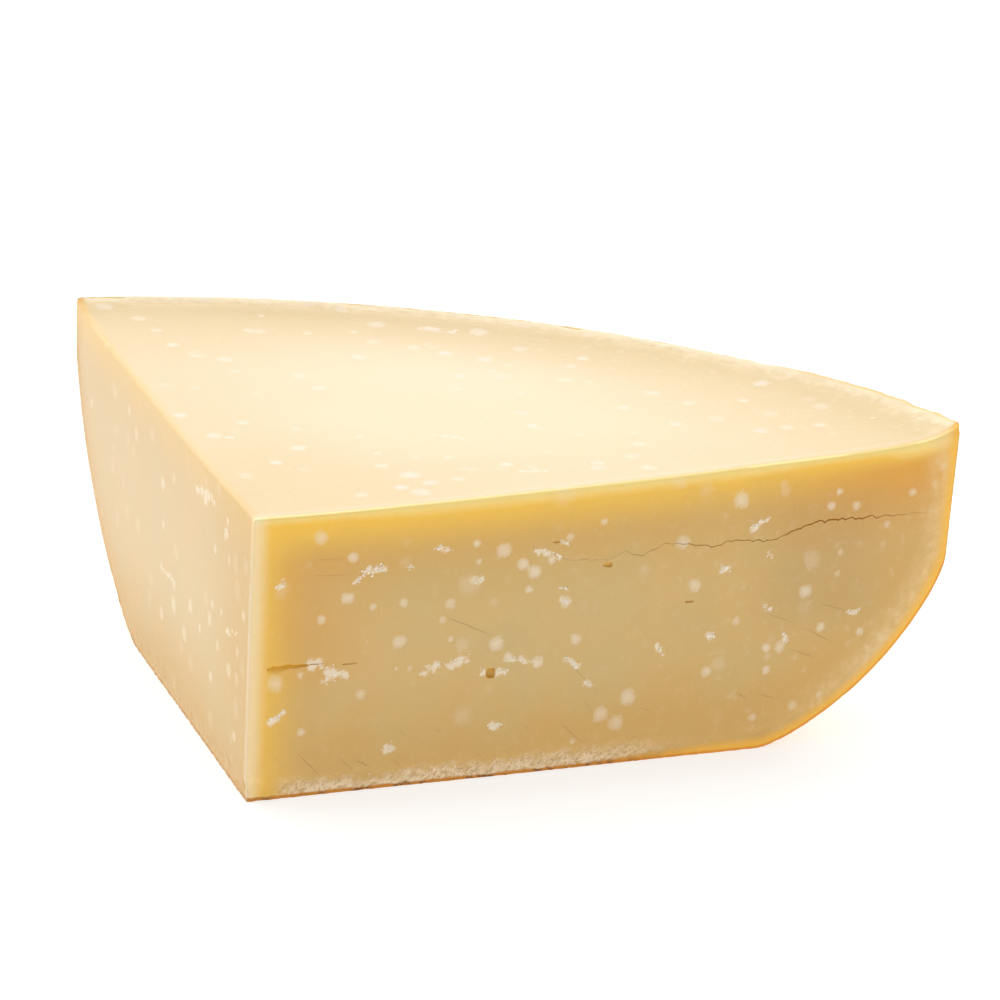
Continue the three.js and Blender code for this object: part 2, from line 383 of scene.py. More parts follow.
class Term:
    """One socket of a node tree. Arithmetic on it adds Math nodes."""

    def __init__(self, tree, node, output=0):
        self.tree = tree
        self.node = node
        self.socket = node.outputs[output] if node.outputs else None

    def math(self, operation, *terms):
        return self.tree.add("ShaderNodeMath", {"operation": operation}, dict(enumerate((self, *terms))))

    __add__ = __radd__ = maths("ADD")
    __mul__ = __rmul__ = maths("MULTIPLY")
    __sub__ = maths("SUBTRACT")
    __truediv__ = maths("DIVIDE")
    __pow__ = maths("POWER")
    least = maths("MINIMUM")
    most = maths("MAXIMUM")

    def __rsub__(self, other):
        return self.tree.add("ShaderNodeMath", {"operation": "SUBTRACT"}, {0: other, 1: self})

    def rise(self, low, high):
        """0 below low, 1 above high, and a smooth climb between."""
        sockets = {"Value": self, "From Min": low, "From Max": high}
        return self.tree.add("ShaderNodeMapRange", {"interpolation_type": "SMOOTHSTEP"}, sockets)

    def fall(self, low, high):
        """1 below low, 0 above high, and a smooth drop between."""
        return 1 - self.rise(low, high)

    def part(self, axis):
        return self.tree.add("ShaderNodeSeparateXYZ", inputs={0: self}, output=axis)


class Tree:
    """A node tree that is filled from Python. add() makes any node."""

    def __init__(self, tree):
        self.tree = tree
        tree.nodes.clear()

    def add(self, kind, settings=None, inputs=None, output=0):
        node = self.tree.nodes.new(kind)
        for name, value in (settings or {}).items():
            setattr(node, name, value)
        for socket, value in (inputs or {}).items():
            self.feed(node.inputs[socket], value)
        return Term(self, node, output)

    def feed(self, socket, value):
        if isinstance(value, Term):
            self.tree.links.new(value.socket, socket)
        else:
            socket.default_value = value

    def vector(self, operation, *terms, output=0):
        return self.add("ShaderNodeVectorMath", {"operation": operation}, dict(enumerate(terms)), output)

    def longer(self, vector, times):
        return self.add("ShaderNodeVectorMath", {"operation": "SCALE"}, {0: vector, "Scale": times})

    def stretched(self, place, times):
        return self.vector("MULTIPLY", place, times)

    def turned(self, place, turn):
        """The place turned about the axis that runs from front to back."""
        sockets = {"Vector": place, "Angle": turn}
        return self.add("ShaderNodeVectorRotate", {"rotation_type": "Y_AXIS"}, sockets)

    def from_axis(self, place):
        """How far a place, counted from the chunk's corner, is from the wheel's axis."""
        return self.vector("LENGTH", self.stretched(place, (1, 1, 0)), output=1)

    def mix(self, factor, first, second):
        """A colour that goes from the first to the second as the factor goes from 0 to 1."""
        return self.add("ShaderNodeMix", {"data_type": "RGBA"}, {0: factor, 6: first, 7: second}, 2)

    def paint(self, colour, paint, where, strength):
        """The colour with a paint of that strength laid over it where a term is 1."""
        return self.mix(where * strength, colour, paint)

    def noise(self, place, size, detail=2.0, roughness=0.5, output=0):
        """Soft noise from 0 to 1 whose features are about that size."""
        sockets = {"Vector": place, "Scale": 1 / size, "Detail": detail, "Roughness": roughness}
        return self.add("ShaderNodeTexNoise", inputs=sockets, output=output)

    def cells(self, place, spacing):
        """The distance to the nearest of many chance points, as a share of their spacing."""
        return self.add("ShaderNodeTexVoronoi", inputs={"Vector": place, "Scale": 1 / spacing})

    def value(self, name):
        """A value that each vertex of the mesh keeps under that name."""
        return self.add("ShaderNodeAttribute", {"attribute_name": name}, output="Fac")

    def wobble(self, place, size, reach):
        """The place pushed aside by noise."""
        push = self.vector("SUBTRACT", self.noise(place, size, output="Color"), (0.5, 0.5, 0.5))
        return self.vector("ADD", place, self.longer(push, 2 * reach))

    def bump(self, height, distance, strength):
        sockets = {"Strength": strength, "Distance": distance, "Height": height}
        return self.add("ShaderNodeBump", inputs=sockets)


# The chunk's form


def shoulder_sizes(angle):
    """Foot radius, height and roundness of the shoulder at angles round the wheel from the front cut."""
    slump = (1 - np.cos(2 * angle)) / 2
    return [size + (LEFT_SHOULDER[name] - size) * slump for name, size in FRONT_SHOULDER.items()]


def shoulder_line(angle, turn):
    """Radius and height on the shoulder, where turn goes from 0 at the foot to a right angle at the side."""
    foot, height, power = shoulder_sizes(angle)
    reach = np.sin(turn) ** (2 / power)
    climb = 1 - np.abs(np.cos(turn)) ** (2 / power)
    return foot + (WHEEL_RADIUS - foot) * reach, height * climb


def top_height(radius):
    """Height of the dished top, for numbers, arrays or terms of a tree."""
    share = radius / WHEEL_RADIUS
    return CENTRE_HEIGHT + share ** DISH_POWER * DISH_RISE + share ** LIP_POWER * LIP_HEIGHT


def eased(count):
    """Steps from 0 to 1 that are closer together at both ends."""
    even = np.linspace(0, 1, count + 1)
    return EVEN_SHARE * even + (1 - EVEN_SHARE) * (1 - np.cos(np.pi * even)) / 2


def rind_depth(place):
    """How deep places, counted from the corner, lie under the rind."""
    radius = np.hypot(place[:, 0], place[:, 1])
    angle = np.arctan2(np.maximum(place[:, 1], 0), np.maximum(place[:, 0], NEARLY_ZERO))
    height = place[:, 2]
    foot, shoulder_top, _ = shoulder_sizes(angle)
    depth = np.where(radius < foot, np.maximum(height, 0), WHEEL_RADIUS)
    from_side = np.where(height > shoulder_top, np.maximum(WHEEL_RADIUS - radius, 0), WHEEL_RADIUS)
    depth = np.minimum(depth, from_side)
    for turn in np.linspace(0, np.pi / 2, SHOULDER_COLUMNS):
        line_radius, line_height = shoulder_line(angle, turn)
        depth = np.minimum(depth, np.hypot(radius - line_radius, height - line_height))
    return depth


def chunk_patches():
    """Grids of points for the cut faces, the top and the rind, each with the number of its material."""
    angle = eased(ANGLE_STEPS)[:, None] * np.pi / 2
    foot = shoulder_sizes(angle)[0]
    flat = np.linspace(0, 1, FOOT_COLUMNS + 1)[None, :] ** CORNER_CROWDING * foot
    turn = np.linspace(0, np.pi / 2, SHOULDER_COLUMNS + 1)[None, 1:]
    shoulder_radius, shoulder_height = shoulder_line(angle, turn)
    radius = np.concatenate([flat, shoulder_radius], 1)
    floor = np.concatenate([np.zeros_like(flat), shoulder_height], 1)
    roof = top_height(radius)
    level = eased(FACE_ROWS)

    def polar(r, a, z):
        return np.stack(np.broadcast_arrays(r * np.cos(a), r * np.sin(a), z), -1)

    def upright(rows, columns):
        low = floor[rows, columns].reshape(-1, 1)
        high = roof[rows, columns].reshape(-1, 1)
        turned = np.broadcast_to(angle, radius.shape)[rows, columns].reshape(-1, 1)
        return polar(radius[rows, columns].reshape(-1, 1), turned, low + (high - low) * level)

    every = slice(None)
    return [
        (upright(0, every), PASTE_FACE),
        (upright(-1, every), PASTE_FACE),
        (polar(radius, angle, roof), PASTE_FACE),
        (polar(radius, angle, floor)[:, FOOT_COLUMNS:], RIND_FACE),
        (upright(every, -1), RIND_FACE),
    ]


def grid_faces(shape, start):
    """Quads of a grid of points whose first point has that number."""
    number = np.arange(shape[0] * shape[1]).reshape(shape) + start
    corners = [number[:-1, :-1], number[1:, :-1], number[1:, 1:], number[:-1, 1:]]
    return np.stack([corner.ravel() for corner in corners], 1)


def soften_edges(place):
    """Wears the chunk's sharp edges round, by the smooth maximum of the distances past its faces."""
    place = place.copy()
    worn = None
    for _ in range(SOFTENING_ROUNDS):
        x, y, z = place.T
        radius = np.maximum(np.hypot(x, y), NEARLY_ZERO)
        past = np.stack([-y, -x, z - top_height(radius), radius - WHEEL_RADIUS], 1)
        softness = EDGE_SOFTNESS + (RIM_SOFTNESS - EDGE_SOFTNESS) * (radius / WHEEL_RADIUS) ** LIP_POWER
        furthest = past.max(1)
        if worn is None:
            worn = furthest > -NEARLY_ZERO
        share = np.exp((past - furthest[:, None]) / softness[:, None])
        smooth = furthest + softness * np.log(share.sum(1))
        front, left, top, side = (share / share.sum(1, keepdims=True)).T
        slope = np.stack([side * x / radius - left, side * y / radius - front, top], 1)
        step = smooth / np.maximum((slope ** 2).sum(1), LEAST_SLOPE)
        place[worn] -= (slope * step[:, None])[worn]
    return place


def vertex_places(mesh):
    place = np.zeros(len(mesh.vertices) * 3)
    mesh.vertices.foreach_get("co", place)
    return place.reshape(-1, 3)


def write_values(mesh, name, values, domain="POINT"):
    """Keeps one number or vector for each vertex or face of a mesh under that name."""
    kind = "FLOAT_VECTOR" if values.ndim == 2 else "FLOAT"
    attribute = mesh.attributes.get(name) or mesh.attributes.new(name, kind, domain)
    attribute.data.foreach_set("vector" if values.ndim == 2 else "value", values.ravel())


def closed_mesh(patches):
    """One closed mesh from the patches: their seams are merged and the flat foot is filled in."""
    points = []
    faces = []
    materials = []
    start = 0
    for patch, material in patches:
        quads = grid_faces(patch.shape[:2], start)
        points.append(patch.reshape(-1, 3))
        faces.append(quads)
        materials += [material] * len(quads)
        start += len(points[-1])
    mesh = bpy.data.meshes.new("chunk_blank")
    mesh.from_pydata(np.concatenate(points).tolist(), [], np.concatenate(faces).tolist())
    mesh.polygons.foreach_set("material_index", materials)
    form = bmesh.new()
    form.from_mesh(mesh)
    bmesh.ops.remove_doubles(form, verts=form.verts, dist=2 * NEARLY_ZERO)
    foot_edges = [edge for edge in form.edges if edge.is_boundary]
    for face in bmesh.ops.holes_fill(form, edges=foot_edges, sides=0)["faces"]:
        face.material_index = RIND_FACE
    bmesh.ops.recalc_face_normals(form, faces=form.faces)
    form.to_mesh(mesh)
    form.free()
    return mesh


def chunk_blank():
    """The chunk with soft edges and no relief, as a mesh with the values that the relief needs."""
    mesh = closed_mesh(chunk_patches())
    place = vertex_places(mesh)
    normal = np.zeros(len(place) * 3)
    mesh.vertices.foreach_get("normal", normal)
    radius = np.hypot(place[:, 0], place[:, 1])
    on_front = place[:, 1] < NEARLY_ZERO
    on_left = place[:, 0] < NEARLY_ZERO
    on_top = np.abs(place[:, 2] - top_height(radius)) < NEARLY_ZERO
    on_cut = on_front | on_left | on_top
    inward = np.where(on_cut[:, None], 0.0, -normal.reshape(-1, 3))
    inward[on_front, 1] += 1
    inward[on_left, 0] += 1
    inward[on_top, 2] -= 1
    rind_face = np.zeros(len(mesh.polygons), dtype=np.int32)
    mesh.polygons.foreach_get("material_index", rind_face)
    write_values(mesh, "inward", inward)
    write_values(mesh, "rind_depth", rind_depth(place))
    write_values(mesh, "skin", np.where(on_cut, 0.0, 1.0))
    write_values(mesh, "lip", np.where(on_top, (radius / WHEEL_RADIUS) ** (2 * LIP_POWER), 0.0))
    write_values(mesh, "rind_face", rind_face.astype(float), "FACE")
    place = soften_edges(place) + np.array(CORNER)
    mesh.vertices.foreach_set("co", place.ravel())
    mesh.update()
    return mesh


# Geometry Nodes


def node_group(name, sizes):
    """A Geometry Nodes tree with a geometry input and named sizes, and its inputs as terms."""
    group = bpy.data.node_groups.new(name, "GeometryNodeTree")
    group.interface.new_socket("Geometry", in_out="INPUT", socket_type="NodeSocketGeometry")
    group.interface.new_socket("Geometry", in_out="OUTPUT", socket_type="NodeSocketGeometry")
    for size in sizes:
        group.interface.new_socket(size, in_out="INPUT", socket_type="NodeSocketFloat")
    tree = Tree(group)
    source = group.nodes.new("NodeGroupInput")
    return tree, {name: Term(tree, source, name) for name in ("Geometry", *sizes)}


def named_value(tree, name, kind="FLOAT"):
    return tree.add("GeometryNodeInputNamedAttribute", {"data_type": kind}, {"Name": name}, "Attribute")


def finish_tree(tree, geometry, material, more=()):
    """Ends a tree: instances become real, and faces get their material, others where a selection says."""
    dressed = tree.add("GeometryNodeRealizeInstances", inputs={"Geometry": geometry})
    dressed = tree.add("GeometryNodeSetMaterial", inputs={"Geometry": dressed, "Material": material})
    for selection, other in more:
        sockets = {"Geometry": dressed, "Selection": selection, "Material": other}
        dressed = tree.add("GeometryNodeSetMaterial", inputs=sockets)
    tree.add("NodeGroupOutput", inputs={"Geometry": dressed})


def add_object(name, data):
    made = bpy.data.objects.new(name, data)
    bpy.context.scene.collection.objects.link(made)
    return made


def plain_mesh(worker):
    """The mesh that an object's modifiers give. The object and its modifiers are removed."""
    bpy.context.view_layer.update()
    graph = bpy.context.evaluated_depsgraph_get()
    shape = worker.evaluated_get(graph)
    mesh = bpy.data.meshes.new_from_object(shape, preserve_all_data_layers=True, depsgraph=graph)
    for index in reversed(range(len(mesh.materials))):
        if mesh.materials[index] is None:
            mesh.materials.pop(index=index)
    worker.modifiers.clear()
    bpy.data.objects.remove(worker)
    return mesh


def run_tree(mesh, tree, sizes):
    """Runs a Geometry Nodes tree on a mesh and gives the result as a plain mesh."""
    worker = add_object("worker", mesh)
    modifier = worker.modifiers.new("nodes", "NODES")
    modifier.node_group = tree.tree
    for socket in tree.tree.interface.items_tree:
        if socket.in_out == "INPUT" and socket.name in sizes:
            modifier[socket.identifier] = sizes[socket.name]
    return plain_mesh(worker)


def relief_tree(paste, rind):
    """Moves the blank's surface in: knife waves, torn paste by the rind, dents in the rind, a ragged lip."""
    tree, given = node_group("chunk_relief", RELIEF_SIZES)
    place = tree.add("GeometryNodeInputPosition")
    skin = named_value(tree, "skin")
    band = given["Torn band"]
    waves = (tree.noise(place, KNIFE_WAVE_LENGTH, detail=1) - 0.5) * given["Knife wave"]
    ragged_depth = named_value(tree, "rind_depth") + (tree.noise(place, RAGGED_BAND_SIZE) - 0.5) * band
    low_down = place.part(2).fall(*TORN_UP) * (1 - TORN_HIGHER_UP) + TORN_HIGHER_UP
    torn = ragged_depth.fall(band / 2, band) * low_down
    slanting = tree.stretched(tree.turned(place, TEAR_SLANT), TEAR_STRETCH)
    tears = tree.noise(slanting, TEAR_SIZE, detail=3, roughness=TEAR_ROUGHNESS)
    tearing = tears * given["Torn depth"] * torn
    dents = tree.noise(place, BROAD_DENT_SIZE) + tree.noise(place, SMALL_DENT_SIZE) / 4 - UNDENTED_LEVEL
    crumble = tree.noise(place, LIP_CRUMBLE_SIZE, detail=3, roughness=TEAR_ROUGHNESS) - 0.5
    by_front_end = place.part(0).rise(*(CORNER.x + across for across in LIP_RISE_ACROSS))
    lip_move = by_front_end * given["Lip rise"] - crumble * given["Lip crumble"]
    move = (waves + tearing) * (1 - skin) + dents * given["Rind dent"] * skin
    offset = tree.longer(named_value(tree, "inward", "FLOAT_VECTOR"), move)
    offset = tree.vector("ADD", offset, tree.longer((0, 0, 1), lip_move * named_value(tree, "lip")))
    moved = tree.add("GeometryNodeSetPosition", inputs={"Geometry": given["Geometry"], "Offset": offset})
    finish_tree(tree, moved, paste, [(named_value(tree, "rind_face").math("GREATER_THAN", 0.5), rind)])
    return tree


def scatter_tree(name, material, on_faces):
    """Grains at the points of a mesh or over its faces, each turned, sized and pushed aside by chance."""
    tree, given = node_group(name, ["Least size", "Most size", "Spread", "Count per square metre"])
    seeds = iter((1, 2, 3, 4))

    def chance(low, high):
        sockets = {2: low, 3: high, "Seed": next(seeds)}
        return tree.add("FunctionNodeRandomValue", {"data_type": "FLOAT"}, sockets, 1)

    def chances(low, high):
        sockets = {0: (low, low, low), 1: (high, high, high), "Seed": next(seeds)}
        return tree.add("FunctionNodeRandomValue", {"data_type": "FLOAT_VECTOR"}, sockets)

    if on_faces:
        amount = given["Count per square metre"] * named_value(tree, "amount")
        sockets = {"Mesh": given["Geometry"], "Density": amount, "Seed": CRUMBS_SEED}
        points = tree.add("GeometryNodeDistributePointsOnFaces", inputs=sockets, output="Points")
    else:
        points = tree.add("GeometryNodeMeshToPoints", inputs={"Mesh": given["Geometry"]})
    push = tree.longer(chances(-0.5, 0.5), given["Spread"])
    points = tree.add("GeometryNodeSetPosition", inputs={"Geometry": points, "Offset": push})
    ball = tree.add("GeometryNodeMeshIcoSphere", inputs={"Radius": 1.0, "Subdivisions": 1}, output="Mesh")
    lumpy = tree.wobble(tree.add("GeometryNodeInputPosition"), GRAIN_LUMP_SIZE, GRAIN_LUMP_REACH)
    grain = tree.add("GeometryNodeSetPosition", inputs={"Geometry": ball, "Position": lumpy})
    size = given["Least size"] + (given["Most size"] - given["Least size"]) * chance(0.0, 1.0) ** 2
    sockets = {
        "Points": points,
        "Instance": grain,
        "Rotation": chances(0, math.tau),
        "Scale": tree.longer(chances(*GRAIN_STRETCH), size),
    }
    finish_tree(tree, tree.add("GeometryNodeInstanceOnPoints", inputs=sockets), material)
    return tree


# Cuts in the front face


def on_front(along, up, depth=0.0):
    """A place on the front face from millimetres along and up it, that many metres deep."""
    return CORNER + Vector((along * MM, depth, up * MM))


def on_line(ends, share):
    """Along and up a face at that share of a line, from the along and up of its two ends."""
    from_along, from_up, to_along, to_up = ends
    return from_along + (to_along - from_along) * share, from_up + (to_up - from_up) * share


def groove(form, along, up, gap, width, depth):
    """Adds a wedge to a bmesh that follows a line on the front face, where gap is the share of its size."""
    rings = []
    for a, u, g in zip(along, up, gap):
        half = Vector((0, 0, width * WEDGE_HALF_MOUTH * max(g, LEAST_GAP)))
        mouth = on_front(a, u, -WEDGE_OUT)
        root = on_front(a, u, depth * (LEAST_DEPTH + (1 - LEAST_DEPTH) * g))
        rings.append([form.verts.new(corner) for corner in (mouth + half, mouth - half, root)])
    form.faces.new(rings[0])
    form.faces.new(rings[-1])
    for first, second in zip(rings, rings[1:]):
        for i in range(3):
            form.faces.new([first[i], first[i - 1], second[i - 1], second[i]])


def cut_crack(form, chance):
    """Adds a thin jagged wedge that follows the crack to a bmesh."""
    path = np.array(CRACK_PATH)
    length = np.concatenate([[0], np.cumsum(np.hypot(*np.diff(path[:, :2], axis=0).T))])
    stations = np.arange(0, length[-1], CRACK_STEP)
    along, up, gap = (np.interp(stations, length, column) for column in path.T)
    up = up + chance.normal(0, CRACK_JITTER, len(stations))
    gap = gap * (1 + CRACK_UNEVENNESS * (chance.random(len(stations)) - 0.5))
    groove(form, along, up, gap, CRACK_WIDTH, CRACK_DEPTH)


def cut_scratches(form, chance):
    """Adds a hair-thin wedge that tapers to both ends for each scratch to a bmesh."""
    share = np.linspace(0, 1, SCRATCH_STATIONS)
    for scratch in SCRATCHES:
        along, up = on_line(scratch, share)
        up = up + chance.normal(0, SCRATCH_JITTER, len(share))
        groove(form, along, up, np.sin(np.pi * share) ** 0.5, SCRATCH_WIDTH, SCRATCH_DEPTH)


def cut_slits(form, chance):
    """Adds a wedge that is wide near its start and runs out to nothing for each slit to a bmesh."""
    share = np.linspace(0, 1, SLIT_STATIONS)
    gap = np.minimum(SLIT_START + share * SLIT_OPENING, 1) * (1 - share) ** SLIT_TAPER
    for *ends, width, depth in SLITS:
        along, up = on_line(ends, share)
        up = up + chance.normal(0, SLIT_JITTER, len(share))
        groove(form, along, up, gap, width * MM, depth * MM)


def cut_eyes(form, chance):
    """Adds a lumpy hollow for each eye to a bmesh."""
    for along, up, width, height, depth in EYES:
        lumps = chance.normal(size=(EYE_LUMPS, 3))
        lumps /= np.linalg.norm(lumps, axis=1, keepdims=True)
        size = Vector((width / 2, depth, height / 2)) * MM
        for vert in bmesh.ops.create_icosphere(form, subdivisions=3, radius=1)["verts"]:
            bulge = 1 + EYE_BULGE * np.maximum(lumps @ np.array(vert.co) - EYE_BULGE_FROM, 0).sum()
            boxy = Vector([math.copysign(abs(level) ** EYE_BOXINESS, level) for level in vert.co])
            vert.co = on_front(along, up) + boxy * size * bulge


def cut_chunk(mesh):
    """The chunk's mesh with the crack, eyes, slits and scratches cut into it, one kind after another."""
    chance = np.random.default_rng(CUTS_SEED)
    for add_cuts in (cut_crack, cut_eyes, cut_slits, cut_scratches):
        form = bmesh.new()
        add_cuts(form, chance)
        bmesh.ops.recalc_face_normals(form, faces=form.faces)
        cuts = bpy.data.meshes.new("cuts")
        form.to_mesh(cuts)
        form.free()
        knife = add_object("cuts", cuts)
        worker = add_object("chunk_to_cut", mesh)
        cut = worker.modifiers.new("cuts", "BOOLEAN")
        cut.operation = "DIFFERENCE"
        cut.solver = "MANIFOLD"
        cut.object = knife
        mesh = plain_mesh(worker)
        bpy.data.objects.remove(knife)
    return mesh


def cut_faces(place):
    """Millimetres along, up and under the front, the left face and the top, for places from the corner."""
    across, back, height = place.T / MM
    under_top = top_height(np.hypot(place[:, 0], place[:, 1])) / MM - height
    faces = [(across, height, back), (back, height, across), (across, back, under_top)]
    return [(along, up, np.maximum(under, 0)) for along, up, under in faces]


def nearness(place, marks_of_faces):
    """How far places are from the nearest round mark of their face, in that mark's radii."""
    away = np.full(len(place), FAR_FROM_MARKS)
    for (along, up, under), marks in zip(cut_faces(place), marks_of_faces):
        for mark_along, mark_up, diameter in marks:
            gap = np.hypot(along - mark_along, up - mark_up) * 2 / diameter
            away = np.minimum(away, gap + under)
    return away


def crumbly_lumps(streaks, chance):
    """Round lumps of many sizes along each crumbly streak: along, up and diameter in millimetres."""
    lumps = []
    for streak in streaks:
        ends = streak[:4]
        spread = streak[4]
        length = math.dist(ends[:2], ends[2:])
        for share in np.linspace(0, 1, LEAST_LUMPS + int(length / spread)):
            along, up = on_line(ends, share) + chance.normal(0, spread * LUMP_SCATTER, 2)
            lumps.append((along, up, spread * chance.uniform(*LUMP_SIZES)))
    return lumps


def make_chunk(paste, rind):
    """The chunk itself: its blank, relief and cuts, and the values at each vertex that the paste reads."""
    mesh = cut_chunk(run_tree(chunk_blank(), relief_tree(paste, rind), RELIEF_SIZES))
    mesh.name = "chunk"
    for name in ("inward", "skin", "lip", "rind_face"):
        if mesh.attributes.get(name):
            mesh.attributes.remove(mesh.attributes[name])
    place = vertex_places(mesh)
    place[:, 2] = np.maximum(place[:, 2], 0)
    mesh.vertices.foreach_set("co", place.ravel())
    place = place - np.array(CORNER)
    chance = np.random.default_rng(LUMPS_SEED)
    lumps = [crumbly_lumps(streaks, chance) for streaks in (FRONT_STREAKS, LEFT_STREAKS, TOP_STREAKS)]
    write_values(mesh, "rind_depth", rind_depth(place))
    write_values(mesh, "crystal", nearness(place, (FRONT_CRYSTALS, LEFT_CRYSTALS, TOP_CRYSTALS)))
    write_values(mesh, "lumps", nearness(place, lumps))
    mesh.shade_smooth()
    mesh.set_sharp_from_angle(angle=SHARP_ANGLE)
    return add_object("chunk", mesh)


# Crystals and crumbs


def make_crystal_grains(chunk, material):
    """White grains along each crumbly streak, on the front face as it is after its relief."""
    chance = np.random.default_rng(CRYSTAL_GRAINS_SEED)
    surface = BVHTree.FromObject(chunk, bpy.context.evaluated_depsgraph_get())
    points = []
    for *ends, spread, grains in FRONT_STREAKS:
        along, up = on_line(ends, chance.random(grains))
        along = along + chance.normal(0, spread / 2, grains)
        up = up + chance.normal(0, spread / 2, grains)
        for a, u in zip(along, up):
            hit = surface.ray_cast(on_front(a, u, -GRAIN_SEARCH_FROM), Vector((0, 1, 0)))[0]
            if hit:
                points.append(hit)
    places = bpy.data.meshes.new("crystal_places")
    places.from_pydata(points, [], [])
    tree = scatter_tree("crystal_grains", material, on_faces=False)
    return add_object("crystal_grains", run_tree(places, tree, CRYSTAL_GRAIN_SIZES))


def make_crumbs(chunk, material):
    """Crumbs of paste along the torn foot of the front cut."""
    ground = chunk.data.copy()
    place = vertex_places(ground) - np.array(CORNER)
    across, back, height = place.T
    at_foot = (back < CRUMB_BACK) & (height < CRUMB_UP)
    for size, (least, most) in ((rind_depth(place), CRUMB_DEPTH), (across, CRUMB_ACROSS)):
        at_foot = at_foot & (size > least) & (size < most)
    write_values(ground, "amount", np.where(at_foot, CRUMB_SHARE, 0.0))
    tree = scatter_tree("crumbs", material, on_faces=True)
    return add_object("crumbs", run_tree(ground, tree, CRUMB_SIZES))


# Materials


def new_material(name, same_all_over):
    """A material with a Principled shader, its constant values, and the place from the chunk's corner."""
    material = bpy.data.materials.new(name)
    material.use_nodes = True
    tree = Tree(material.node_tree)
    shader = tree.add("ShaderNodeBsdfPrincipled", inputs=same_all_over)
    tree.add("ShaderNodeOutputMaterial", inputs={"Surface": shader})
    place = tree.vector("SUBTRACT", tree.add("ShaderNodeTexCoord", output="Object"), CORNER)
    return material, tree, shader.node.inputs, place


class PasteTerms:
    """What the paste's colours go by: distances in metres, shares of its faces, and noises."""

    def __init__(self, tree, place):
        self.tree = tree
        self.place = place
        self.across, self.back, self.height = (place.part(axis) for axis in range(3))
        self.depth = tree.value("rind_depth")
        self.radius = tree.from_axis(place)
        self.below_top = top_height(self.radius) - self.height
        self.from_corner = self.across.most(self.back)
        self.from_cuts = self.across.least(self.back)
        self.on_cut = self.from_cuts.fall(*FACE_DEPTH)
        self.on_front = self.back.fall(*FACE_DEPTH) * (self.across - self.back).rise(*CORNER_TURN)
        self.on_left = self.on_cut - self.on_front
        self.on_top = (1 - self.on_cut) * self.below_top.fall(*FACE_DEPTH)
        self.slanting = tree.turned(place, TEAR_SLANT)
        self.cloud = tree.noise(place, CLOUD_SIZE)
        self.fleck = tree.noise(place, FLECK_SIZE, detail=3, roughness=0.65)
        grain_place = tree.stretched(self.slanting, PASTE_GRAIN_STRETCH)
        self.grains = tree.noise(grain_place, PASTE_GRAIN_SIZE, roughness=0.7)
        self.coarse = self.fleck - 0.5
        self.fine = self.grains - 0.5
        self.uneven = self.coarse * 0.7 + self.fine * 0.3
        inside = self.depth.least(self.below_top).least(self.from_corner)
        self.inwards = inside + (self.cloud - 0.5) * DEEP_WANDER

    def where(self, **reaches):
        """The product of a share for each distance named: 0 at its first size and 1 at its second.

        Sizes are in millimetres. Two more sizes take the share from 1 back to 0.
        """
        shares = []
        for name, sizes in reaches.items():
            term = getattr(self, name)
            none, full, *drop = span(*sizes)
            shares.append(term.rise(none, full) if none < full else term.fall(full, none))
            if drop:
                shares.append(term.fall(*drop))
        return math.prod(shares[1:], start=shares[0])


def paste_body(at):
    """Tan with olive clouds, deeper towards the outside and deeper on the front cut as painted shade, and
    paler inside the top and the left face, partly drier paste and partly a painted sheen.
    """
    tree = at.tree
    colour = tree.mix(at.cloud.rise(*OLIVE_CLOUDS).most(at.on_top), PASTE_MIDDLE, PASTE_OLIVE)
    # Deeper towards the outside, more on the front cut than on the left face and not on the top: the
    # difference between the faces is painted shade of the front cut.
    deep = at.where(inwards=(26, 6)) * (at.on_front * 0.7 + at.on_left * 0.35)
    colour = tree.mix(deep, colour, PASTE_DEEP)
    # Paler inside the top and the left face: partly drier paste, partly a painted sheen.
    dry_and_sheen_middle = at.where(radius=(10, 80, 100, 155)) * (0.25 + at.where(from_cuts=(5, 50)) * 0.3)
    dry_and_sheen_back = at.where(back=(40, 100), radius=(90, 125, 130, 158), across=(30, 80)) * 0.3
    dry_and_sheen_left = at.where(back=(5, 45), height=(5, 30)) * 0.3
    dry = at.on_top * (0.12 + dry_and_sheen_middle + dry_and_sheen_back) + at.on_left * dry_and_sheen_left
    colour = tree.mix(dry, colour, PASTE_PALE)
    far = at.where(across=(70, 130))
    under_top = at.where(below_top=(30, 8)).most(far) * at.on_front
    colour = tree.paint(colour, PASTE_DEEP, under_top, strength=0.3)
    colour = tree.mix(at.coarse.rise(*PALE_FLECKS) * (0.12 + far * 0.2), colour, PASTE_PALE)
    return tree.paint(colour, PASTE_DEEP, at.where(depth=(12, 1)) * at.on_left, strength=0.7)


def warm_glowing_edges(at, colour):
    """Yellow under the top and beside the corner, partly the paste's own colour and partly a painted glow of
    light through the thin edges, with amber and brown near the ends of the front cut.
    """
    tree = at.tree
    # Yellow under the top edge and beside the corner: partly the paste's own colour, partly a painted glow of
    # light through the edges.
    under_top = at.where(below_top=(14, 0)) ** YELLOW_POWER * (1 - at.cloud.rise(*YELLOW_CLOUDS) * 0.2)
    by_corner = at.where(from_corner=(16, 0)) ** YELLOW_POWER * at.on_front * 0.8
    in_front = at.where(back=(2, 0.5)) * 0.95
    at_left = at.where(across=(3, 0.5)) * (0.2 + at.where(back=(60, 150)) * 0.15)
    yellow = (1 - (1 - under_top) * (1 - by_corner)) * in_front.most(at_left)
    colour = tree.mix(yellow, colour, EDGE_YELLOW)
    far_end = at.where(below_top=(1, 6, 3, 26), across=(110, 160))
    colour = tree.paint(colour, EDGE_AMBER, far_end * at.on_front, strength=0.75)
    corner = at.where(from_corner=(3, 9, 14, 36), below_top=(4, 12, 24, 44))
    colour = tree.paint(colour, EDGE_AMBER, corner * at.on_front, strength=0.28)
    # A darker brown patch on the far part of the front cut.
    brown = at.where(across=(112, 132, 142, 160), height=(24, 38, 52, 70))
    return tree.paint(colour, SHADE_AND_MARK_BROWN, brown * at.on_front, strength=0.18)


